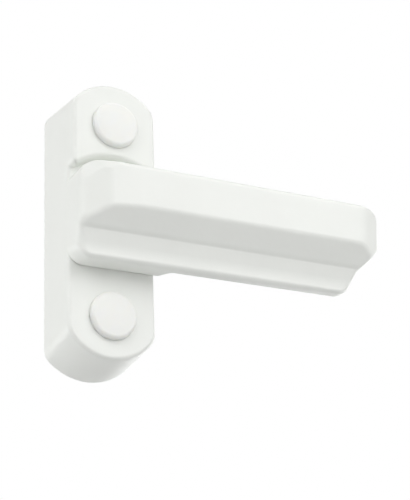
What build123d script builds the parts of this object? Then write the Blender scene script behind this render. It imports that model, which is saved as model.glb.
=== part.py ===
from build123d import *
import os
from math import sqrt

os.makedirs("parts", exist_ok=True)

# Frame: origin on the pivot axis in the plane of the mounting face.
# +X along the arm in its locked position, +Y into the window frame, +Z up the base.
# Heights "h" below are measured out from the mounting face, so h = -y.

# ---- base casting ----
base_w = 20.0            # width at the mounting face
base_top = 33.4          # top end above the pivot
base_bot = -31.4         # bottom end below the pivot
end_r = 12.8             # radius of the two end arcs
corner_r = 3.6           # blend between end arc and side
low_h = 13.5             # front face under and below the arm
high_h = 16.1            # front face of the raised upper end
low_w = 19.9             # width at low_h
high_w = 19.1            # width at high_h
end_draft = 0.087        # inset of the ends per mm of height
step_r = 14.55           # arc of the step, on the pivot axis
edge_r = 0.9             # rounding of the front edges
wall = 2.2               # wall left around the cored back
core_h = 10.8            # depth of the cored back

# ---- screw holes and their recesses ----
screw_zu = 22.2          # upper fixing centre
screw_zl = -20.8         # lower fixing centre, 43 mm apart
screw_d = 4.8            # clearance hole for a 4.2 mm screw
recess_d = 10.4          # recess that takes the head and the cap
seat_h = 6.0             # seat of the screw head
boss_d = 14.4

# ---- caps ----
cap_d = 10.24
cap_flange = 10.5        # flange that laps over the recess
cap_dome = 1.45          # top of the dome above the front face
cap_skirt_id = 8.3
cap_depth = 4.2
cap_rib = 0.07           # ribs that hold the cap in its recess

# ---- pivot ----
pin_d = 8.0
pin_run = 8.1            # bore of the bush
bush_od = 10.0
flange_d = 14.6
flange_seat = 0.8        # depth of the flange seat in the base
pocket_d = 14.4
pocket_h = 7.5
thread_d = 5.9
washer_od = 13.0
washer_id = 6.4
washer_t = 1.0
spring_od = 11.8
spring_id = 6.3
spring_t = 0.5
spring_free = 0.9
nut_af = 10.0
nut_h = 4.6
hub_h = 13.7             # back face of the arm's hub
pin_end_h = 18.0

# ---- arm ----
arm_top = 10.3           # upper side
arm_bot = -10.5          # lower side
arm_l = 63.95            # pivot to the end of the grip bar
hub_x = 10.3             # pivot to the hub's outer side
back_h = 16.6            # relieved back of the arm
bar_h = 24.0             # front of the grip bar
bar_z = 0.5              # lower edge of the grip bar's front
ledge_h = 20.4           # front of the lower ledge, at its root
ledge_z = -4.6           # where the bar's underside meets the ledge
bar_r = 2.2              # rounding of that lower edge
crease_r = 0.8           # hollow of the crease above the ledge
ledge_tilt = 0.172       # fall of the ledge towards its lower edge, for each mm
ledge_l = 58.05          # pivot to the end of the ledge, at its root
ledge_l2 = 54.95         # pivot to the end of the ledge, at its foot
bar_l2 = 63.15           # pivot to the end of the bar, at its lower corner
nose_x = 58.45           # where the bar's front turns into the facet of its end
nose_h = 21.1            # where that facet meets the end wall
hub_end = 10.6           # end of the hub boss at its back face
hub_end2 = 12.4          # end of the hub boss at the relieved back

# ---- buffer pad in the arm's back ----
pad_x0, pad_x1 = 17.0, 54.0
pad_hw = 7.4
pad_seat = 1.4           # depth of the pad's seat
pad_proud = 0.5


def z_ends(half, top, bot, re):
    d = re - sqrt(re * re - half * half)
    return top - d, bot + d


# =====================================================================
# raised upper end of the base, outside the arm's swing
# =====================================================================
with BuildPart() as high:
    for h, w in ((low_h, low_w), (high_h, high_w)):
        with BuildSketch(Plane.XZ.offset(h)):
            i = end_draft * h
            zt, zb = z_ends(w / 2, base_top - i, base_bot + i, end_r - i)
            with BuildLine():
                Line((-w / 2, 0), (-w / 2, zt))
                ThreePointArc((-w / 2, zt), (0, base_top - i), (w / 2, zt))
                Line((w / 2, zt), (w / 2, 0))
                Line((w / 2, 0), (-w / 2, 0))
            make_face()
            fillet(vertices().sort_by(Axis.Y)[-2:], corner_r)
    loft()
    with BuildSketch(Plane.XZ.offset(low_h - 1)):
        Circle(step_r)
    extrude(amount=6, mode=Mode.SUBTRACT)

# =====================================================================
# base: one casting, cored from the back, with a raised upper end
# =====================================================================
with BuildPart() as base:
    for h, w in ((0.0, base_w), (low_h, low_w)):
        with BuildSketch(Plane.XZ.offset(h)):
            i = end_draft * h
            zt, zb = z_ends(w / 2, base_top - i, base_bot + i, end_r - i)
            with BuildLine():
                Line((-w / 2, zb), (-w / 2, zt))
                ThreePointArc((-w / 2, zt), (0, base_top - i), (w / 2, zt))
                Line((w / 2, zt), (w / 2, zb))
                ThreePointArc((w / 2, zb), (0, base_bot + i), (-w / 2, zb))
            make_face()
            fillet(vertices(), corner_r)
    loft()
    add(high.part)
    # front edges of the raised end and of the lower part
    fillet(faces().sort_by(Axis.Y)[0].edges(), edge_r)
    fillet(edges().filter_by_position(Axis.Y, -low_h - 0.05, -low_h + 0.05)
           .filter_by_position(Axis.Z, -40, 8), edge_r)
    # seat of the bush's flange, and the bush's bore
    with BuildSketch(Plane.XZ.offset(low_h)):
        Circle(flange_d / 2 + 0.15)
    extrude(amount=-flange_seat, mode=Mode.SUBTRACT)
    with BuildSketch(Plane.XZ.offset(low_h)):
        Circle(bush_od / 2)
    extrude(amount=-low_h, mode=Mode.SUBTRACT)
    # pocket for the washer, spring and nut
    with BuildSketch(Plane.XZ):
        Circle(pocket_d / 2)
    extrude(amount=pocket_h, mode=Mode.SUBTRACT)
    # cap recesses and screw holes
    with BuildSketch(Plane.XZ.offset(seat_h)):
        with Locations((0, screw_zu), (0, screw_zl)):
            Circle(recess_d / 2)
    extrude(amount=20, mode=Mode.SUBTRACT)
    with BuildSketch(Plane.XZ):
        with Locations((0, screw_zu), (0, screw_zl)):
            Circle(screw_d / 2)
    extrude(amount=20, mode=Mode.SUBTRACT)
    # cored back between the pivot housing and the screw bosses
    with BuildSketch(Plane.XZ):
        with Locations((0, 12.0), (0, -12.0)):
            RectangleRounded(base_w - 2 * wall - 1.0, 12.4, 1.0)
        with Locations((0, screw_zu), (0, screw_zl)):
            Circle(boss_d / 2, mode=Mode.SUBTRACT)
        Circle(pocket_d / 2 + 1.7, mode=Mode.SUBTRACT)
    extrude(amount=core_h, mode=Mode.SUBTRACT)
base.part.label = "base"

# =====================================================================
# arm: one casting, grip bar in front, ledge below it, round-cornered hub
# =====================================================================
with BuildPart() as arm:
    # front view outline
    with BuildSketch(Plane.XZ.offset(hub_h)):
        with BuildLine():
            FilletPolyline(
                (-hub_x, arm_top), (arm_l, arm_top), (bar_l2, 0.35),
                (ledge_l, ledge_z - 0.15), (ledge_l2, arm_bot), (-hub_x, arm_bot),
                radius=(3.3, 2.9, 2.6, 3.0, 3.2, 3.6), close=True)
        make_face()
    extrude(amount=bar_h - hub_h + 1)
    # seen from above: the front falls back to the hub's side, and the far end has a facet
    with BuildSketch(Plane.XY.offset(-20)):
        with BuildLine():
            Polyline((-hub_x, -21.2), (-4.2, -23.6), (2.4, -bar_h), (nose_x, -bar_h), (arm_l, -nose_h),
                     (arm_l, -hub_h + 1), (-hub_x, -hub_h + 1), (-hub_x, -21.2))
        make_face()
        fillet(vertices().filter_by_position(Axis.X, -hub_x - 0.1, -hub_x + 0.1).sort_by(Axis.Y)[0], 2.2)
        fillet(vertices().filter_by_position(Axis.X, -4.3, -4.1), 5.0)
        fillet(vertices().filter_by_position(Axis.X, 2.3, 2.5), 20.0)
        fillet(vertices().filter_by_position(Axis.X, nose_x - 0.1, nose_x + 0.1), 4.0)
        fillet(vertices().filter_by_position(Axis.X, arm_l - 0.1, arm_l + 0.1).sort_by(Axis.Y)[0], 1.4)
    extrude(amount=40, mode=Mode.INTERSECT)
    # two shallow facets at the hub's upper corner
    for at, turn in (((-8.05, -22.05, 6.85), (-0.467, -0.866, 0.180)), ((-4.3, -23.4, 8.6), (-0.260, -0.925, 0.275))):
        with BuildSketch(Plane(origin=at, z_dir=turn)):
            Rectangle(30, 30)
        extrude(amount=6, mode=Mode.SUBTRACT)
    # cross-section: the bar's underside slopes back to the tilted ledge
    with BuildSketch(Plane.YZ.offset(-20)):
        with BuildLine():
            foot = ledge_h - ledge_tilt * (ledge_z - (arm_bot - 1))
            run = sqrt((bar_h - ledge_h) ** 2 + (bar_z - ledge_z) ** 2)
            sh, sz = (bar_h - ledge_h) / run, (bar_z - ledge_z) / run
            back = bar_r * sh / (1 + sz)
            turn = (-bar_h + back * sh, bar_z - back * sz)
            FilletPolyline((-foot, arm_bot - 1), (-ledge_h, ledge_z), turn, radius=crease_r)
            TangentArc(turn, (-bar_h, bar_z + back), tangent=(-sh, sz))
            Polyline((-bar_h, bar_z + back), (-bar_h - 2, bar_z + back), (-bar_h - 2, arm_bot - 1),
                     (-foot, arm_bot - 1))
        make_face()
    extrude(amount=100, mode=Mode.SUBTRACT)
    # back relieved beyond the hub, so that the arm clears the base and its cap
    with BuildSketch(Plane.XY.offset(-20)):
        with BuildLine():
            Polyline((hub_end, -hub_h + 2), (hub_end, -hub_h), (hub_end2, -back_h), (arm_l + 2, -back_h),
                     (arm_l + 2, -hub_h + 2), (hub_end, -hub_h + 2))
        make_face()
    extrude(amount=40, mode=Mode.SUBTRACT)
    # seat and cored pockets behind the buffer pad
    with BuildSketch(Plane.XZ.offset(back_h)):
        with Locations(((pad_x0 + pad_x1) / 2, 0)):
            RectangleRounded(pad_x1 - pad_x0 + 0.2, 2 * pad_hw + 0.2, 3.1)
    extrude(amount=pad_seat, mode=Mode.SUBTRACT)
    with BuildSketch(Plane.XZ.offset(back_h)):
        with Locations((27.6, 3.0), (44.2, 3.0)):
            RectangleRounded(15.0, 8.0, 1.5)
    extrude(amount=5.0, mode=Mode.SUBTRACT)
    # blind bore that holds the pivot pin
    with BuildSketch(Plane.XZ.offset(hub_h)):
        Circle(pin_d / 2)
    extrude(amount=pin_end_h + 0.2 - hub_h, mode=Mode.SUBTRACT)
arm.part.label = "arm"

# =====================================================================
# pivot pin: pressed into the hub, threaded at its inner end
# =====================================================================
with BuildPart() as pivot_pin:
    with BuildSketch(Plane.XY):
        with BuildLine():
            Polyline((0, -pin_end_h), (pin_d / 2 - 0.4, -pin_end_h), (pin_d / 2, -pin_end_h + 0.4),
                     (pin_d / 2, -pocket_h - 0.2), (thread_d / 2, -pocket_h - 0.2),
                     (thread_d / 2, -1.3), (thread_d / 2 - 0.5, -0.8), (0, -0.8), (0, -pin_end_h))
        make_face()
    revolve(axis=Axis.Y)
pivot_pin.part.label = "pivot_pin"

# flanged nylon bush: journal of the pin, and thrust face under the hub
with BuildPart() as pivot_bush:
    with BuildSketch(Plane.XY):
        f0 = low_h - flange_seat
        with BuildLine():
            Polyline((pin_run / 2, -pocket_h - 0.02), (bush_od / 2 - 0.01, -pocket_h - 0.02),
                     (bush_od / 2 - 0.01, -f0 - 0.01), (flange_d / 2, -f0 - 0.01),
                     (flange_d / 2, -hub_h + 0.02), (pin_run / 2, -hub_h + 0.02),
                     (pin_run / 2, -pocket_h - 0.02))
        make_face()
    revolve(axis=Axis.Y)
pivot_bush.part.label = "pivot_bush"

# plain washer against the web of the base
with BuildPart() as back_washer:
    with BuildSketch(Plane.XZ.offset(pocket_h - washer_t)):
        Circle(washer_od / 2)
        Circle(washer_id / 2, mode=Mode.SUBTRACT)
    extrude(amount=washer_t)
    chamfer(edges().filter_by(GeomType.CIRCLE).sort_by(SortBy.LENGTH)[-2:], 0.15)
back_washer.part.label = "back_washer"

# disc spring: keeps the hub on its thrust face, so that friction holds the arm
s0 = pocket_h - washer_t - 0.02
with BuildPart() as disc_spring:
    with BuildSketch(Plane.XY):
        rise = spring_free - spring_t
        with BuildLine():
            Polyline((spring_id / 2, -s0 + spring_free - spring_t), (spring_od / 2, -s0),
                     (spring_od / 2, -s0 + spring_t), (spring_id / 2, -s0 + spring_free),
                     (spring_id / 2, -s0 + spring_free - spring_t))
        make_face()
    revolve(axis=Axis.Y)
disc_spring.part.label = "disc_spring"

# lock nut on the pin's thread
n0 = s0 - spring_free
with BuildPart() as lock_nut:
    with BuildSketch(Plane.XZ.offset(n0 - nut_h + 1.2)):
        RegularPolygon(nut_af / 2, 6, major_radius=False)
        Circle(3.0, mode=Mode.SUBTRACT)
    extrude(amount=nut_h - 1.2)
    with BuildSketch(Plane.XZ.offset(n0 - nut_h)):
        Circle(4.4)
        Circle(3.0, mode=Mode.SUBTRACT)
    extrude(amount=1.2)
lock_nut.part.label = "lock_nut"


# =====================================================================
# caps: domed plugs with a skirt and crush ribs
# =====================================================================
def cap_profile(front):
    r, rf = cap_d / 2, cap_flange / 2
    Line((0, -(front - 0.9)), (0, -(front + cap_dome)))
    ThreePointArc((0, -(front + cap_dome)), (2.2, -(front + cap_dome - 0.04)), (4.4, -(front + cap_dome - 0.17)))
    ThreePointArc((4.4, -(front + cap_dome - 0.17)), (5.03, -(front + 1.03)), (rf, -(front + 0.55)))
    Polyline((rf, -(front + 0.55)), (rf, -(front + 0.08)), (rf - 0.05, -(front + 0.03)), (r, -(front + 0.03)),
             (r, -(front - cap_depth + 0.3)), (r - 0.3, -(front - cap_depth)),
             (cap_skirt_id / 2, -(front - cap_depth)), (cap_skirt_id / 2, -(front - 0.9)), (0, -(front - 0.9)))


with BuildPart() as cap_upper:
    with BuildSketch(Plane.XY.offset(screw_zu)):
        with BuildLine():
            cap_profile(high_h)
        make_face()
    revolve(axis=Axis((0, 0, screw_zu), (0, 1, 0)))
    with BuildSketch(Plane.XZ.offset(high_h - 3.8)):
        with Locations((0, screw_zu)):
            with PolarLocations(cap_d / 2 - 0.4, 4, 45):
                Rectangle(2 * (0.4 + cap_rib), 0.8)
    extrude(amount=2.6)
cap_upper.part.label = "cap_upper"

with BuildPart() as cap_lower:
    with BuildSketch(Plane.XY.offset(screw_zl)):
        with BuildLine():
            cap_profile(low_h)
        make_face()
    revolve(axis=Axis((0, 0, screw_zl), (0, 1, 0)))
    with BuildSketch(Plane.XZ.offset(low_h - 3.8)):
        with Locations((0, screw_zl)):
            with PolarLocations(cap_d / 2 - 0.4, 4, 45):
                Rectangle(2 * (0.4 + cap_rib), 0.8)
    extrude(amount=2.6)
cap_lower.part.label = "cap_lower"

# =====================================================================
# buffer pad: bears on the sash
# =====================================================================
with BuildPart() as buffer_pad:
    with BuildSketch(Plane.XZ.offset(back_h - pad_proud)):
        with Locations(((pad_x0 + pad_x1) / 2, 0)):
            RectangleRounded(pad_x1 - pad_x0, 2 * pad_hw, 3.0)
    extrude(amount=pad_proud + pad_seat - 0.01)
    fillet(faces().sort_by(Axis.Y)[-1].edges(), 0.4)
buffer_pad.part.label = "buffer_pad"

export_step(base.part, "parts/base.step")
export_step(arm.part, "parts/arm.step")
export_step(pivot_pin.part, "parts/pivot_pin.step")
export_step(pivot_bush.part, "parts/pivot_bush.step")
export_step(back_washer.part, "parts/back_washer.step")
export_step(disc_spring.part, "parts/disc_spring.step")
export_step(lock_nut.part, "parts/lock_nut.step")
export_step(cap_upper.part, "parts/cap_upper.step")
export_step(cap_lower.part, "parts/cap_lower.step")
export_step(buffer_pad.part, "parts/buffer_pad.step")
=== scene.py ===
import math

import bpy
import numpy as np
from mathutils import Matrix, Vector


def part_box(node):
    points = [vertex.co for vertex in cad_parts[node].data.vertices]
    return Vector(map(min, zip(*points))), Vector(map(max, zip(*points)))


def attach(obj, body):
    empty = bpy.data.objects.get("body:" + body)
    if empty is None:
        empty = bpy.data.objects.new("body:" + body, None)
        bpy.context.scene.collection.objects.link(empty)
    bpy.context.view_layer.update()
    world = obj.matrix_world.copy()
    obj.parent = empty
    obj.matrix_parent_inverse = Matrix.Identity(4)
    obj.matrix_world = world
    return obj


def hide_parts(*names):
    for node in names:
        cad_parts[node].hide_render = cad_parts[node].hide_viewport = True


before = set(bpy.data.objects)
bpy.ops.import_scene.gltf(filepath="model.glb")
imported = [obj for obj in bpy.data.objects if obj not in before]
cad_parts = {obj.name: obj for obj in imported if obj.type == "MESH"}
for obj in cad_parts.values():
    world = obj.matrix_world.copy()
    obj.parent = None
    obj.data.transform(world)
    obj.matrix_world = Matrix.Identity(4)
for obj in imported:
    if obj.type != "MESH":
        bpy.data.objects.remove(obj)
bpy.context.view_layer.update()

# Lengths below are in millimetres until a mesh is written, and in the part's frame:
# origin on the pivot axis in the mounting plane, +X along the arm, +Y into the window frame, +Z up.
# Heights h are measured out from the mounting plane, so h = -y.
MM = 0.001


# =============================================================================
# signed-distance solids: each is a function of (x, h, z) giving distance and gradient
# =============================================================================
def plane(nx, nh, nz, off):
    size = math.sqrt(nx * nx + nh * nh + nz * nz)
    n, off = (nx / size, nh / size, nz / size), off / size

    def f(x, h, z):
        d = -off
        for k, v in zip(n, (x, h, z)):
            if k:
                d = d + k * v
        return d, n[0], n[1], n[2]
    return f


def neg(fa):
    def f(x, h, z):
        return tuple(-v for v in fa(x, h, z))
    return f


def inter(fa, fb, r=0.0):
    """What both hold, its edges rounded with radius r at whatever angle the two surfaces meet.
    The radius is a number or a function of (x, h, z)."""
    def f(x, h, z):
        a, ax, ah, az = fa(x, h, z)
        b, bx, bh, bz = fb(x, h, z)
        pick = a >= b
        d, gx, gh, gz = (np.where(pick, p, q) for p, q in ((a, b), (ax, bx), (ah, bh), (az, bz)))
        if callable(r) or r > 0:
            rr = r(x, h, z) if callable(r) else r
            c = np.clip(ax * bx + ah * bh + az * bz, -0.9, 0.995)
            k = 1 - c * c
            s = ((a + rr) - c * (b + rr)) / k
            t = ((b + rr) - c * (a + rr)) / k
            m = (s > 0) & (t > 0)
            size = np.sqrt(np.maximum(s * s + t * t + 2 * s * t * c, 1e-12))
            d = np.where(m, size - rr, d)
            gx = np.where(m, (s * ax + t * bx) / size, gx)
            gh = np.where(m, (s * ah + t * bh) / size, gh)
            gz = np.where(m, (s * az + t * bz) / size, gz)
        return d, gx, gh, gz
    return f


def union(fa, fb, r=0.0):
    return neg(inter(neg(fa), neg(fb), r))


def cut(fa, fb, r=0.0):
    return inter(fa, neg(fb), r)


def tube(cx, cz, r, inset=0.0):
    """A cylinder along h about (cx, cz); its radius falls by inset for each mm of height."""
    def f(x, h, z):
        dx, dz = x - cx, z - cz
        rho = np.maximum(np.hypot(dx, dz), 1e-9)
        return rho - (r - inset * h), dx / rho, inset, dz / rho
    return f


def slab(cx, cz, w, t, r):
    """A rectangle w by t with corners of radius r, along h."""
    def f(x, h, z):
        px, pz = np.abs(x - cx) - (w / 2 - r), np.abs(z - cz) - (t / 2 - r)
        out = np.hypot(np.maximum(px, 0), np.maximum(pz, 0))
        d = out + np.minimum(np.maximum(px, pz), 0) - r
        safe = np.maximum(out, 1e-9)
        on = out > 1e-9
        gx = np.where(on, np.maximum(px, 0) / safe, (px > pz) * 1.0) * np.sign(x - cx)
        gz = np.where(on, np.maximum(pz, 0) / safe, (px <= pz) * 1.0) * np.sign(z - cz)
        return d, gx, 0.0, gz
    return f


def rounded(points, radii):
    """Elements of a closed outline, counter-clockwise, with each corner rounded."""
    P = [np.array(p, float) for p in points]
    n, ends, parts = len(P), [], []
    for i, (p, r) in enumerate(zip(P, radii)):
        u, v = P[i - 1] - p, P[(i + 1) % n] - p
        u, v = u / np.linalg.norm(u), v / np.linalg.norm(v)
        half = 0.5 * math.acos(float(u @ v))
        mid = (u + v) / np.linalg.norm(u + v)
        c = p + mid * r / math.sin(half)
        turn = -u[0] * v[1] + u[1] * v[0]
        a, b = p + u * r / math.tan(half), p + v * r / math.tan(half)
        ends.append((a, b))
        parts.append(("arc", c, r, a, b, 1.0 if turn > 0 else -1.0))
    for i in range(n):
        parts.append(("line", ends[i][1], ends[(i + 1) % n][0]))
    return parts


def outline(parts, axes):
    """The inside of an outline, drawn out along the third axis. axes: 'xz' or 'xh'."""
    def f(x, h, z):
        u, v = (x, z) if axes == "xz" else (x, h)
        best = gu = gv = None
        for e in parts:
            if e[0] == "line":
                (ax, ay), (bx, by) = e[1], e[2]
                size = math.hypot(bx - ax, by - ay)
                tx, ty = (bx - ax) / size, (by - ay) / size
                t = (u - ax) * tx + (v - ay) * ty
                d = (u - ax) * ty - (v - ay) * tx
                on, eu, ev = (t >= -1e-6) & (t <= size + 1e-6), ty + 0 * d, -tx + 0 * d
            else:
                _, c, r, a, b, way = e
                du, dv = u - c[0], v - c[1]
                rho = np.maximum(np.hypot(du, dv), 1e-9)
                sa = (a[0] - c[0]) * dv - (a[1] - c[1]) * du
                sb = du * (b[1] - c[1]) - dv * (b[0] - c[0])
                on = (sa * way >= -1e-6) & (sb * way >= -1e-6)
                d, eu, ev = way * (rho - r), way * du / rho, way * dv / rho
            if best is None:
                best, gu, gv = np.where(on, d, 1e3), eu, ev
            else:
                near = on & (np.abs(d) < np.abs(best))
                best, gu, gv = np.where(near, d, best), np.where(near, eu, gu), np.where(near, ev, gv)
        return (best, gu, 0.0, gv) if axes == "xz" else (best, gu, gv, 0.0)
    return f


def lines(*spans):
    """Grid lines through (start, stop, step) spans."""
    out = []
    for a, b, step in spans:
        k = max(1, int(round((b - a) / step)))
        out.extend(a + (b - a) * i / k for i in range(k))
    out.append(spans[-1][1])
    return np.array(out)


def skin(f, gx, gh, gz):
    """A closed quad mesh on the zero of f, over a grid of lines, each vertex brought onto the surface."""
    d = f(gx[:, None, None], gh[None, :, None], gz[None, None, :])[0]
    d = np.broadcast_to(d, (len(gx), len(gh), len(gz)))
    inside = d < 0
    nx, nh, nz = (len(g) - 1 for g in (gx, gh, gz))
    total, count = np.zeros((nx, nh, nz, 3)), np.zeros((nx, nh, nz))
    grids = (gx, gh, gz)
    for axis in range(3):
        lo = [slice(None)] * 3
        hi = [slice(None)] * 3
        lo[axis], hi[axis] = slice(0, -1), slice(1, None)
        da, db = d[tuple(lo)], d[tuple(hi)]
        cross = inside[tuple(lo)] != inside[tuple(hi)]
        t = np.where(cross, da / np.where(cross, da - db, 1.0), 0.0)
        pos = []
        for k in range(3):
            g = grids[k]
            shape = [1, 1, 1]
            if k == axis:
                shape[k] = len(g) - 1
                pos.append(g[:-1].reshape(shape) + t * np.diff(g).reshape(shape))
            else:
                shape[k] = len(g)
                pos.append(np.broadcast_to(g.reshape(shape), cross.shape))
        others = [k for k in range(3) if k != axis]
        for i in (0, 1):
            for j in (0, 1):
                src = [slice(None)] * 3
                src[others[0]] = slice(i, i - 1 or None) if i else slice(0, -1)
                src[others[1]] = slice(j, j - 1 or None) if j else slice(0, -1)
                src = tuple(src)
                c = cross[src]
                count += c
                for k in range(3):
                    total[..., k] += np.where(c, pos[k][src], 0.0)
    has = count > 0
    ids = np.full(has.shape, -1)
    ids[has] = np.arange(has.sum())
    verts = total[has] / count[has][:, None]
    quads = []
    for axis in range(3):
        o1, o2 = [(1, 2), (2, 0), (0, 1)][axis]
        lo = [slice(1, -1)] * 3
        hi = [slice(1, -1)] * 3
        lo[axis], hi[axis] = slice(0, -1), slice(1, None)
        a, b = inside[tuple(lo)], inside[tuple(hi)]
        for way in (0, 1):
            where = np.argwhere((a & ~b) if way == 0 else (~a & b))
            where[:, o1] += 1
            where[:, o2] += 1
            corners = []
            for s1, s2 in ((-1, -1), (0, -1), (0, 0), (-1, 0)):
                w = where.copy()
                w[:, o1] += s1
                w[:, o2] += s2
                corners.append(ids[w[:, 0], w[:, 1], w[:, 2]])
            q = np.stack(corners, 1)
            quads.append(q if way == 0 else q[:, ::-1])
    quads = np.concatenate(quads)
    for _ in range(4):
        dv, *g = f(verts[:, 0], verts[:, 1], verts[:, 2])
        g = np.stack([np.broadcast_to(v, dv.shape) for v in g], 1)
        step = np.clip(dv, -0.2, 0.2)[:, None] * g
        verts = verts - step
    dv, *g = f(verts[:, 0], verts[:, 1], verts[:, 2])
    g = np.stack([np.broadcast_to(v, dv.shape) for v in g], 1)
    g = g / np.maximum(np.linalg.norm(g, axis=1), 1e-9)[:, None]
    return verts, quads, g


def to_mesh(name, verts, quads, normals):
    """(x, h, z) in mm becomes a mesh in metres; the turn from h to -y flips each face."""
    co = verts * (MM, -MM, MM)
    no = normals * (1, -1, 1)
    quads = quads[:, ::-1]
    me = bpy.data.meshes.new(name)
    me.vertices.add(len(co))
    me.vertices.foreach_set("co", co.astype(np.float32).ravel())
    me.loops.add(quads.size)
    me.loops.foreach_set("vertex_index", quads.ravel().astype(np.int32))
    me.polygons.add(len(quads))
    me.polygons.foreach_set("loop_start", np.arange(0, quads.size, 4, dtype=np.int32))
    me.update(calc_edges=True)
    me.validate()
    me.polygons.foreach_set("use_smooth", np.ones(len(me.polygons), bool))
    me.normals_split_custom_set_from_vertices([tuple(v) for v in no])
    ob = bpy.data.objects.new(name, me)
    bpy.context.scene.collection.objects.link(ob)
    return ob


# =============================================================================
# arm
# =============================================================================
ARM_TOP, ARM_BOT, ARM_L, BACK_H, LEDGE_H, BAR_H = 10.3, -10.5, 63.95, 16.6, 20.4, 24.0
HUB_H, HUB_X, BAR_Z, LEDGE_Z = 13.7, 10.3, 0.5, -4.6

END_LEAN = 0.081            # the end leans out towards the top
front_view = outline(rounded(
    [(-HUB_X, ARM_BOT), (54.95, ARM_BOT), (58.05, -4.75), (63.15, 0.35), (ARM_L, ARM_TOP), (-HUB_X, ARM_TOP)],
    [3.6, 3.2, 3.0, 2.6, 2.9, 3.6]), "xz")
plan_flat = outline(rounded(
    [(ARM_L, 5.0), (ARM_L, 21.25), (58.85, BAR_H), (2.4, BAR_H), (-4.2, 23.6), (-HUB_X, 21.2), (-HUB_X, 5.0)],
    [1.0, 1.4, 7.0, 24.0, 5.0, 2.2, 1.0]), "xh")


def plan_view(x, h, z):
    return plan_flat(np.where(x > 30, x + END_LEAN * (ARM_TOP - z), x), h, z)


def edge_round(x, h, z):
    """Radius of the arm's front edge: 1 mm, fuller along the top and tighter at the hub's upper corner."""
    up = np.clip(z / 6.0, 0, 1)
    t = np.clip((10.0 - np.hypot(x + HUB_X, z - ARM_TOP)) / 8.0, 0, 1)
    return 1.0 + 0.4 * up * up * (3 - 2 * up) - 1.0 * t * t * (3 - 2 * t)


# below the bar: the tilted ledge, and the slope that rises from it to the bar's lower edge, steeper at its root
def lean(deg, h, z):
    c, d = math.cos(math.radians(deg)), -math.sin(math.radians(deg))
    return plane(0, c, d, c * h + d * z)


slope = inter(lean(34.0, BAR_H, BAR_Z), lean(42.5, LEDGE_H, LEDGE_Z), 5.0)
# the ledge is flat at its root and turns forward to its lip
ledge = union(lean(17.2, LEDGE_H, LEDGE_Z), lean(0.5, LEDGE_H - 1.176, LEDGE_Z - 3.8), 9.0)
kept = union(ledge, slope, 0.8)
# the hub's upper corner: two shallow facets that turn into each other
corner = inter(plane(-0.467, 0.866, 0.180, -0.467 * -8.05 + 0.866 * 22.05 + 0.180 * 6.85),
               plane(-0.260, 0.925, 0.275, -0.260 * -4.30 + 0.925 * 23.40 + 0.275 * 8.60), 4.0)
front = inter(inter(plan_view, corner, 0.5), kept, 2.2)
block = inter(front, front_view, edge_round)
# back: hub boss, then relieved
boss_end = plane(2.9, -1.8, 0, 2.9 * 10.6 - 1.8 * HUB_H)
hub = inter(plane(0, -1, 0, -HUB_H), boss_end, 0.5)
back = union(hub, plane(0, -1, 0, -BACK_H), 0.6)
arm_f = inter(block, back, 0.2)
arm_f = cut(arm_f, inter(slab(35.5, 0, 37.2, 15.0, 3.1), plane(0, 1, 0, BACK_H + 1.4)), 0.15)
for px in (27.6, 44.2):
    arm_f = cut(arm_f, inter(slab(px, 3.0, 15.0, 8.0, 1.5), plane(0, 1, 0, BACK_H + 5.0), 0.5), 0.2)
arm_f = cut(arm_f, inter(tube(0, 0, 4.0), plane(0, 1, 0, 18.2)), 0.2)

# =============================================================================
# base
# =============================================================================
BASE_TOP, BASE_BOT, END_R, CORNER_R, DRAFT = 33.4, -31.4, 12.8, 3.6, 0.087
LOW_H, HIGH_H, STEP_R = 13.5, 16.1, 14.55


def half_width(h):
    """Half the base's width at height h, and its slope."""
    low = h < LOW_H
    return (np.where(low, 10.0 - 0.05 * h / LOW_H, 9.95 - 0.4 * (h - LOW_H) / (HIGH_H - LOW_H)),
            np.where(low, -0.05 / LOW_H, -0.4 / (HIGH_H - LOW_H)))


def end_outline(sign, far):
    """One end of the base: straight side, blend, end arc. sign +1 is the upper end."""
    zc = far - sign * END_R

    def f(x, h, z):
        w, dw = half_width(h)
        big = END_R - DRAFT * h
        ax, lz = np.abs(x), sign * (z - zc)
        sx = np.where(x < 0, -1.0, 1.0)
        fx = w - CORNER_R
        fz = np.sqrt(np.maximum((big - CORNER_R) ** 2 - fx ** 2, 0))
        rho = np.maximum(np.hypot(ax, lz), 1e-9)
        rf = np.maximum(np.hypot(ax - fx, lz - fz), 1e-9)
        on_side = lz <= fz
        on_arc = (~on_side) & (fz * ax - fx * lz <= 0)
        d = np.where(on_side, ax - w, np.where(on_arc, rho - big, rf - CORNER_R))
        gx = np.where(on_side, 1.0, np.where(on_arc, ax / rho, (ax - fx) / rf)) * sx
        gz = np.where(on_side, 0.0, np.where(on_arc, lz / rho, (lz - fz) / rf)) * sign
        gh = np.where(on_side, -dw, np.where(on_arc, DRAFT, 0.05))
        return d, gx, gh, gz
    return f


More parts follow.
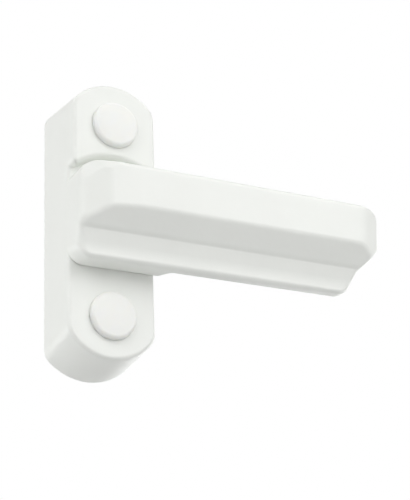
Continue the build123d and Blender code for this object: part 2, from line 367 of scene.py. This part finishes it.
body = inter(end_outline(1, BASE_TOP), end_outline(-1, BASE_BOT))
low = inter(body, plane(0, 1, 0, LOW_H), 0.9)
high = inter(inter(body, plane(0, 1, 0, HIGH_H), 0.9), neg(tube(0, 0, STEP_R)), 1.15)
high = inter(high, plane(0, 0, -1, -4.0))
base_f = union(low, high, 0.25)
base_f = inter(base_f, plane(0, -1, 0, 0), 0.2)
for cz in (22.2, -20.8):
    base_f = cut(base_f, inter(tube(0, cz, 5.04), plane(0, -1, 0, -6.0), 0.3), 0.03)
    base_f = cut(base_f, tube(0, cz, 2.4), 0.2)
base_f = cut(base_f, inter(tube(0, 0, 7.45), plane(0, -1, 0, -12.7)), 0.15)
base_f = cut(base_f, inter(tube(0, 0, 7.2), plane(0, 1, 0, 7.5), 0.2), 0.3)
base_f = cut(base_f, tube(0, 0, 5.0), 0.1)
for cz, sz in ((12.0, 22.2), (-12.0, -20.8)):
    core = inter(slab(0, cz, 14.6, 12.4, 1.0), plane(0, 1, 0, 10.8), 0.8)
    core = cut(cut(core, tube(0, sz, 7.2), 0.5), tube(0, 0, 8.9), 0.5)
    base_f = cut(base_f, core, 0.3)

arm_skin = to_mesh("arm_skin", *skin(
    arm_f,
    lines((-10.9, 20, 0.32), (20, 54, 0.55), (54, 64.3, 0.26)),
    lines((13.0, 24.7, 0.24)),
    lines((-10.9, 10.9, 0.26))))
base_skin = to_mesh("base_skin", *skin(
    base_f,
    lines((-10.7, 10.7, 0.3)),
    lines((-0.8, 1.2, 0.2), (1.2, 11.6, 0.5), (11.6, 16.9, 0.24)),
    lines((-32.2, 34.2, 0.32))))
for ob in (arm_skin, base_skin):
    print(ob.name, len(ob.data.polygons), "quads")


# =============================================================================
# caps: turned profile with a fine, smooth rim, and four crush ribs down the plug
# =============================================================================
def arc(a, m, b, n):
    """n points after a, along the circle through a, m and b."""
    (ax, ay), (mx, my), (bx, by) = a, m, b
    k = 2 * (ax * (my - by) + mx * (by - ay) + bx * (ay - my))
    qa, qm, qb = ax * ax + ay * ay, mx * mx + my * my, bx * bx + by * by
    cx = (qa * (my - by) + qm * (by - ay) + qb * (ay - my)) / k
    cy = (qa * (bx - mx) + qm * (ax - bx) + qb * (mx - ax)) / k
    t0, t1 = math.atan2(ay - cy, ax - cx), math.atan2(by - cy, bx - cx)
    r = math.hypot(ax - cx, ay - cy)
    return [(cx + r * math.cos(t0 + (t1 - t0) * i / n), cy + r * math.sin(t0 + (t1 - t0) * i / n))
            for i in range(1, n + 1)]


def cap_mesh(name, cz, front):
    rim, plug, skirt, rib = 5.25, 4.98, 4.15, 0.05
    prof = [(0.0, 1.45)] + arc((0.0, 1.45), (2.15, 1.41), (4.3, 1.30), 14)
    prof += arc(prof[-1], (4.99, 1.06), (rim, 0.50), 14)
    prof += [(rim, 0.10), (rim - 0.01, 0.06), (rim - 0.03, 0.04), (rim - 0.06, 0.03), (plug + 0.02, 0.03), (plug, 0.01)]
    first = len(prof) - 1
    prof += [(plug, -0.3), (plug, -2.0), (plug, -3.85)]
    last = len(prof) - 1
    prof += [(plug - 0.05, -3.95), (plug - 0.25, -4.15), (plug - 0.32, -4.2), (skirt + 0.05, -4.2), (skirt, -4.15)]
    prof += [(skirt, -2.5), (skirt, -1.1), (skirt - 0.06, -0.96), (skirt - 0.2, -0.9), (2.0, -0.9), (0.0, -0.9)]
    turns, rows, verts = 180, [], []
    for k, (r, h) in enumerate(prof):
        if r == 0.0:
            rows.append([len(verts)] * turns)
            verts.append((0.0, -(front + h) * MM, cz * MM))
            continue
        rows.append(range(len(verts), len(verts) + turns))
        for i in range(turns):
            t = 2 * math.pi * i / turns
            off = math.degrees(t) % 90.0 - 45.0
            out = r + (rib if first < k <= last and abs(off) < 4.5 else 0.0)
            verts.append((out * math.cos(t) * MM, -(front + h) * MM, (cz + out * math.sin(t)) * MM))
    faces = []
    for a, b in zip(rows, rows[1:]):
        for i in range(turns):
            j = (i + 1) % turns
            if a[i] == a[j]:
                faces.append((a[i], b[i], b[j]))
            elif b[i] == b[j]:
                faces.append((a[i], b[i], a[j]))
            else:
                faces.append((a[i], b[i], b[j], a[j]))
    data = bpy.data.meshes.new(name)
    data.from_pydata(verts, [], faces)
    data.validate()
    data.polygons.foreach_set("use_smooth", np.ones(len(data.polygons), bool))
    ob = bpy.data.objects.new(name, data)
    bpy.context.scene.collection.objects.link(ob)
    return ob


cap_u = cap_mesh("cap_upper_skin", 22.2, HIGH_H)
cap_l = cap_mesh("cap_lower_skin", -20.8, LOW_H)


# =============================================================================
# lock nut: chamfered hexagon, rounded collar, and the plastic ring that is held in the collar
# =============================================================================
def chamfer(r, at, way):
    """A 30 degree cone about the axis, radius r at height at; way -1 opens outwards, 1 inwards."""
    def f(x, h, z):
        rho = np.maximum(np.hypot(x, z), 1e-9)
        return 0.5 * (rho - r) + 0.866 * way * (h - at), 0.5 * x / rho, 0.866 * way, 0.5 * z / rho
    return f


nut_lo, nut_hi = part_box("lock_nut")
H0, H1 = -nut_hi[1] / MM, -nut_lo[1] / MM
nut_f = inter(plane(0, -1, 0, -(H0 + 1.2)), plane(0, 1, 0, H1))
for k in range(6):
    t = math.radians(90 + 60 * k)
    nut_f = inter(nut_f, plane(math.cos(t), 0, math.sin(t), 5.0), 0.1)
nut_f = inter(inter(nut_f, chamfer(4.8, H0 + 1.2, -1), 0.04), chamfer(4.8, H1, 1), 0.04)
collar = inter(inter(tube(0, 0, 4.4), plane(0, -1, 0, -H0), 0.5), plane(0, 1, 0, H1 - 0.5))
nut_f = union(nut_f, collar, 0.2)
nut_f = cut(nut_f, inter(tube(0, 0, 3.75), plane(0, 1, 0, H0 + 0.9)), 0.05)
nut_f = cut(nut_f, tube(0, 0, 3.0), 0.06)
ring_f = cut(inter(inter(tube(0, 0, 3.72), plane(0, -1, 0, -(H0 + 0.2)), 0.15), plane(0, 1, 0, H0 + 0.87)),
             tube(0, 0, 3.03), 0.1)
nut_skin = to_mesh("lock_nut_skin", *skin(
    nut_f, lines((-6.13, 6.09, 0.16)), lines((H0 - 0.47, H1 + 0.52, 0.16)), lines((-6.08, 6.14, 0.16))))
nut_ring = to_mesh("lock_nut_ring", *skin(
    ring_f, lines((-4.0, 4.0, 0.11)), lines((H0 - 0.2, H0 + 1.2, 0.11)), lines((-4.0, 4.0, 0.11))))
for ob in (nut_skin, nut_ring):
    print(ob.name, len(ob.data.polygons), "quads")


# =============================================================================
# materials
# =============================================================================
def nodes_of(name):
    mat = bpy.data.materials.new(name)
    mat.use_nodes = True
    nt = mat.node_tree
    nt.nodes.clear()
    out = nt.nodes.new("ShaderNodeOutputMaterial")
    bsdf = nt.nodes.new("ShaderNodeBsdfPrincipled")
    nt.links.new(bsdf.outputs[0], out.inputs[0])
    return mat, nt, bsdf


def tex_coord(nt):
    return nt.nodes.new("ShaderNodeTexCoord").outputs["Object"]


def noise(nt, scale, detail=2.0, rough=0.5, vec=None):
    n = nt.nodes.new("ShaderNodeTexNoise")
    n.inputs["Scale"].default_value = scale
    n.inputs["Detail"].default_value = detail
    n.inputs["Roughness"].default_value = rough
    nt.links.new(vec if vec is not None else tex_coord(nt), n.inputs["Vector"])
    return n.outputs["Fac"]


def ramp(nt, fac, a, b, lo=0.0, hi=1.0):
    n = nt.nodes.new("ShaderNodeMapRange")
    n.inputs["From Min"].default_value, n.inputs["From Max"].default_value = lo, hi
    n.inputs["To Min"].default_value, n.inputs["To Max"].default_value = a, b
    nt.links.new(fac, n.inputs["Value"])
    return n.outputs["Result"]


def tint(nt, fac, a, b, lo=0.0, hi=1.0):
    n = nt.nodes.new("ShaderNodeMix")
    n.data_type = "RGBA"
    n.inputs["A"].default_value = (*a, 1)
    n.inputs["B"].default_value = (*b, 1)
    nt.links.new(ramp(nt, fac, 0.0, 1.0, lo, hi), n.inputs["Factor"])
    return n.outputs["Result"]


def bump(nt, bsdf, height, strength, distance):
    n = nt.nodes.new("ShaderNodeBump")
    n.inputs["Strength"].default_value = strength
    n.inputs["Distance"].default_value = distance
    nt.links.new(height, n.inputs["Height"])
    nt.links.new(n.outputs["Normal"], bsdf.inputs["Normal"])


def powder_coat():
    mat, nt, bsdf = nodes_of("white_powder_coat")
    vec = tex_coord(nt)
    nt.links.new(tint(nt, noise(nt, 60, 3, 0.5, vec), (0.862, 0.877, 0.842), (0.876, 0.891, 0.856), 0.35, 0.65), bsdf.inputs["Base Color"])
    nt.links.new(ramp(nt, noise(nt, 220, 3, 0.6, vec), 0.38, 0.46, 0.3, 0.7), bsdf.inputs["Roughness"])
    bsdf.inputs["IOR"].default_value = 1.5
    bump(nt, bsdf, noise(nt, 900, 2, 0.45, vec), 0.25, 0.00004)
    return mat


def plastic(name, a, b, rough=(0.38, 0.48), scale=350, height=0.00002, soft=0.0):
    mat, nt, bsdf = nodes_of(name)
    vec = tex_coord(nt)
    nt.links.new(tint(nt, noise(nt, 90, 3, 0.5, vec), a, b, 0.35, 0.65), bsdf.inputs["Base Color"])
    nt.links.new(ramp(nt, noise(nt, scale, 3, 0.6, vec), *rough, 0.3, 0.7), bsdf.inputs["Roughness"])
    bsdf.inputs["IOR"].default_value = 1.46
    if soft:
        bsdf.inputs["Subsurface Weight"].default_value = soft
        bsdf.inputs["Subsurface Radius"].default_value = (0.0012, 0.0011, 0.0009)
        bsdf.inputs["Subsurface Scale"].default_value = 1.0
    bump(nt, bsdf, noise(nt, scale * 4, 2, 0.5, vec), 0.3, height)
    return mat


def steel():
    mat, nt, bsdf = nodes_of("plated_steel")
    vec = tex_coord(nt)
    nt.links.new(tint(nt, noise(nt, 260, 4, 0.6, vec), (0.52, 0.53, 0.54), (0.66, 0.665, 0.67), 0.3, 0.7), bsdf.inputs["Base Color"])
    nt.links.new(ramp(nt, noise(nt, 700, 3, 0.6, vec), 0.26, 0.42, 0.3, 0.7), bsdf.inputs["Roughness"])
    bsdf.inputs["Metallic"].default_value = 1.0
    bump(nt, bsdf, noise(nt, 2400, 3, 0.6, vec), 0.25, 0.00002)
    return mat


coat, metal = powder_coat(), steel()
cap_mat = plastic("cap_polyamide", (0.885, 0.89, 0.862), (0.90, 0.905, 0.878), soft=0.45)
bush_mat = plastic("bush_nylon", (0.05, 0.05, 0.052), (0.07, 0.07, 0.072))
pad_mat = plastic("pad_rubber", (0.30, 0.30, 0.30), (0.35, 0.35, 0.35), rough=(0.62, 0.78), scale=600, height=0.00005)


def dress(ob, mat):
    ob.data.materials.clear()
    ob.data.materials.append(mat)


for name, mat in (("pivot_pin", metal), ("back_washer", metal), ("disc_spring", metal), ("lock_nut", metal),
                  ("pivot_bush", bush_mat), ("cap_upper", cap_mat), ("cap_lower", cap_mat), ("buffer_pad", pad_mat),
                  ("base", coat), ("arm", coat)):
    dress(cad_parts[name], mat)
for ob, mat, node, body, slot in ((arm_skin, coat, "arm", "arm_body", "white_coat"),
                                  (base_skin, coat, "base", "base_body", "white_coat"),
                                  (cap_u, cap_mat, "cap_upper", "base_body", "cap_plastic"),
                                  (cap_l, cap_mat, "cap_lower", "base_body", "cap_plastic"),
                                  (nut_skin, metal, "lock_nut", "arm_body", "steel")):
    dress(ob, mat)
    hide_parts(node)
    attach(ob, body)

dress(nut_ring, plastic("ring_nylon", (0.60, 0.60, 0.57), (0.66, 0.66, 0.63), soft=0.2))
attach(nut_ring, "arm_body")

# =============================================================================
# stage, light, camera
# =============================================================================
me = bpy.data.meshes.new("floor")
me.from_pydata([(-6, -6, -0.55), (6, -6, -0.55), (6, 6, -0.55), (-6, 6, -0.55)], [], [(0, 1, 2, 3)])
floor = bpy.data.objects.new("floor", me)
bpy.context.scene.collection.objects.link(floor)
mat, nt, bsdf = nodes_of("floor_paint")
nt.links.new(tint(nt, noise(nt, 3, 2), (0.80, 0.80, 0.80), (0.82, 0.82, 0.82)), bsdf.inputs["Base Color"])
bsdf.inputs["Roughness"].default_value = 0.9
# the floor looks the same pale grey far from the lights as near them, and adds no light of its own
glow, blend = nt.nodes.new("ShaderNodeEmission"), nt.nodes.new("ShaderNodeMixShader")
nt.links.new(tint(nt, noise(nt, 2, 2), (0.60, 0.60, 0.60), (0.63, 0.63, 0.63)), glow.inputs["Color"])
glow.inputs["Strength"].default_value = 1.0
nt.links.new(nt.nodes.new("ShaderNodeLightPath").outputs["Is Camera Ray"], blend.inputs["Fac"])
nt.links.new(bsdf.outputs[0], blend.inputs[1])
nt.links.new(glow.outputs[0], blend.inputs[2])
nt.links.new(blend.outputs[0], [n for n in nt.nodes if n.type == "OUTPUT_MATERIAL"][0].inputs[0])
dress(floor, mat)

world = bpy.data.worlds.new("studio")
bpy.context.scene.world = world
world.use_nodes = True
nt = world.node_tree
nt.nodes.clear()
out = nt.nodes.new("ShaderNodeOutputWorld")
seen = nt.nodes.new("ShaderNodeBackground")
lit = nt.nodes.new("ShaderNodeBackground")
mirrored = nt.nodes.new("ShaderNodeBackground")
mirrored.inputs["Color"].default_value = (1, 1, 1, 1)
# what the coat mirrors: a white room with darker parts, each about a direction (elevation, azimuth)
toward = nt.nodes.new("ShaderNodeTexCoord").outputs["Generated"]
level = None
for el, az, size, drop in ((42, 28, 38, 0.7), (54, 229, 34, 0.4), (-40, 325, 40, 0.35)):
    e, a = math.radians(el), math.radians(az)
    dot = nt.nodes.new("ShaderNodeVectorMath")
    dot.operation = "DOT_PRODUCT"
    nt.links.new(toward, dot.inputs[0])
    dot.inputs[1].default_value = (-math.sin(a) * math.cos(e), -math.cos(a) * math.cos(e), math.sin(e))
    dark = nt.nodes.new("ShaderNodeMapRange")
    dark.interpolation_type = "SMOOTHSTEP"
    dark.inputs["From Min"].default_value, dark.inputs["From Max"].default_value = math.cos(math.radians(size)), 1.0
    dark.inputs["To Min"].default_value, dark.inputs["To Max"].default_value = 0.0, drop
    nt.links.new(dot.outputs["Value"], dark.inputs["Value"])
    less = nt.nodes.new("ShaderNodeMath")
    less.operation = "SUBTRACT"
    less.inputs[0].default_value = 0.8
    if level is not None:
        nt.links.new(level, less.inputs[0])
    nt.links.new(dark.outputs["Result"], less.inputs[1])
    level = less.outputs[0]
nt.links.new(level, mirrored.inputs["Strength"])
seen.inputs["Color"].default_value = (1, 1, 1, 1)
seen.inputs["Strength"].default_value = 1.0
lit.inputs["Color"].default_value = (1, 1, 1, 1)
lit.inputs["Strength"].default_value = 0.02
path = nt.nodes.new("ShaderNodeLightPath")
white = nt.nodes.new("ShaderNodeMixShader")
nt.links.new(path.outputs["Is Glossy Ray"], white.inputs["Fac"])
nt.links.new(lit.outputs[0], white.inputs[1])
nt.links.new(mirrored.outputs[0], white.inputs[2])
mix = nt.nodes.new("ShaderNodeMixShader")
nt.links.new(path.outputs["Is Camera Ray"], mix.inputs["Fac"])
nt.links.new(white.outputs[0], mix.inputs[1])
nt.links.new(seen.outputs[0], mix.inputs[2])
nt.links.new(mix.outputs[0], out.inputs[0])


def softbox(name, at, size, power, aim=(0.02, -0.012, 0.0)):
    data = bpy.data.lights.new(name, "AREA")
    data.shape = "RECTANGLE"
    data.size, data.size_y = size
    data.energy = power
    ob = bpy.data.objects.new(name, data)
    bpy.context.scene.collection.objects.link(ob)
    ob.visible_camera = False
    ob.location = at
    ob.rotation_euler = (Vector(aim) - Vector(at)).to_track_quat("-Z", "Y").to_euler()
    return ob


# (elevation, azimuth, size, power); azimuth 0 is in front, 90 on the left, 270 on the right
AIM = Vector((0.02, -0.012, 0.0))
for el, az, size, power in (
        (35, 60, 1.26, 10.0), (35, 330, 1.26, 5.85), (20, 330, 1.26, 3.2), (0, 0, 1.26, 2.65),
        (50, 315, 1.64, 4.5), (-15, 120, 1.26, 14.2), (80, 0, 1.64, 1.2), (0, 330, 1.26, 1.0),
        (20, 60, 1.26, 1.1), (-15, 240, 1.26, 14.8), (65, 60, 1.64, 0.6), (35, 300, 1.26, 0.85)):
    e, a = math.radians(el), math.radians(az)
    way = Vector((-math.sin(a) * math.cos(e), -math.cos(a) * math.cos(e), math.sin(e)))
    softbox("box_%d_%d" % (el, az), AIM + 1.4 * way, (size, size), power, AIM)

A, E, R = math.radians(28.357), math.radians(21.717), math.radians(-2.375)
look = Vector((math.sin(A) * math.cos(E), math.cos(A) * math.cos(E), math.sin(E)))
right = Vector((math.cos(A), -math.sin(A), 0))
up = right.cross(look)
right, up = right * math.cos(R) + up * math.sin(R), up * math.cos(R) - right * math.sin(R)
cam = bpy.data.cameras.new("camera")
cam.sensor_fit = "HORIZONTAL"
cam.sensor_width = 36.0
cam.lens = 1450.0 / 410.0 * 36.0
cam.clip_start = 0.01
cam.clip_end = 50.0
camera = bpy.data.objects.new("camera", cam)
bpy.context.scene.collection.objects.link(camera)
camera.matrix_world = Matrix((
    (right.x, up.x, -look.x, -0.118113),
    (right.y, up.y, -look.y, -0.274022),
    (right.z, up.z, -look.z, -0.120460),
    (0, 0, 0, 1)))
bpy.context.scene.camera = camera
bpy.context.scene.view_settings.view_transform = "Standard"
